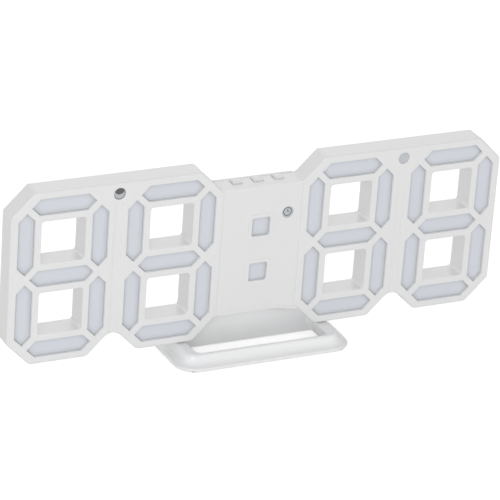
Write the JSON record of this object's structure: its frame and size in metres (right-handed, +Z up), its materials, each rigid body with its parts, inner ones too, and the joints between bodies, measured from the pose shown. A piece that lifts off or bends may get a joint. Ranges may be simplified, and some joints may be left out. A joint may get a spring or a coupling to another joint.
{
  "type": "digital desk clock",
  "caption": "Wide white LED desk clock: open seven-segment digits in pairs around a plain panel with a colon, held up on a low slotted stand by a tilting hinge.",
  "frame": {"origin": "on the table, under the middle of the clock's outline in plan", "axes": "+X to the right of the display as its reader sees it, +Y to the back, +Z up"},
  "size_m": [0.215, 0.042, 0.08],
  "materials": {
    "white_shell": "satin white moulded ABS",
    "white_stand": "semi-gloss white moulded ABS",
    "white_button": "satin white",
    "white_inner": "matt white polystyrene",
    "milky_diffuser": "milky frosted acrylic",
    "board": "green solder mask on glass-epoxy",
    "lamp": "clear epoxy over phosphor",
    "black_chip": "black moulded epoxy",
    "plated_metal": "nickel plated",
    "steel_pin": "zinc plated steel",
    "grey_rubber": "soft grey silicone"
  },
  "bodies": {
    "stand": {"stand": "white_stand", "stand_feet": "grey_rubber"},
    "clock": {"front_shell": "white_shell", "rear_cover": "white_shell", "diffuser_digit_1": "milky_diffuser", "diffuser_digit_2": "milky_diffuser", "diffuser_digit_3": "milky_diffuser", "diffuser_digit_4": "milky_diffuser", "diffuser_colon": "milky_diffuser", "left_dot_lens": "milky_diffuser", "right_dot_lens": "milky_diffuser", "symbol_lens": "milky_diffuser", "light_box_1": "white_inner", "light_box_2": "white_inner", "light_box_3": "white_inner", "light_box_4": "white_inner", "light_box_colon": "white_inner", "display_board": "board", "segment_leds": "lamp", "colon_leds": "lamp", "indicator_leds": "lamp", "controller_chip": "black_chip", "led_driver_chip": "black_chip", "crystal": "plated_metal", "thermistor": "black_chip", "buzzer": "black_chip", "power_socket": "plated_metal", "coin_cell": "plated_metal", "cell_contact_negative": "plated_metal", "cell_contact_positive": "plated_metal", "tact_switches": "black_chip", "hinge_pin": "steel_pin", "case_screws": "steel_pin"},
    "mode_button": {"button_mode": "white_button", "plunger_mode": "black_chip"},
    "up_button": {"button_up": "white_button", "plunger_up": "black_chip"},
    "down_button": {"button_down": "white_button", "plunger_down": "black_chip"},
    "battery_door": {"battery_door": "white_shell"}
  },
  "joints": [
    {"name": "stand_tilt", "type": "hinge", "parent": "stand", "child": "clock", "pos_m": [0, 0.0116, 0.0125], "axis": [-1, 0, 0], "range_deg": [0, 20]},
    {"name": "mode_press", "type": "slide", "parent": "clock", "child": "mode_button", "axis": [0, 0, -1], "range_m": [0, 0.0005], "stiffness_N_per_m": 1500},
    {"name": "up_press", "type": "slide", "parent": "clock", "child": "up_button", "axis": [0, 0, -1], "range_m": [0, 0.0005], "stiffness_N_per_m": 1500},
    {"name": "down_press", "type": "slide", "parent": "clock", "child": "down_button", "axis": [0, 0, -1], "range_m": [0, 0.0005], "stiffness_N_per_m": 1500},
    {"name": "battery_door_lift", "type": "slide", "parent": "clock", "child": "battery_door", "axis": [0, 1, 0], "range_m": [0, 0.012]}
  ]
}
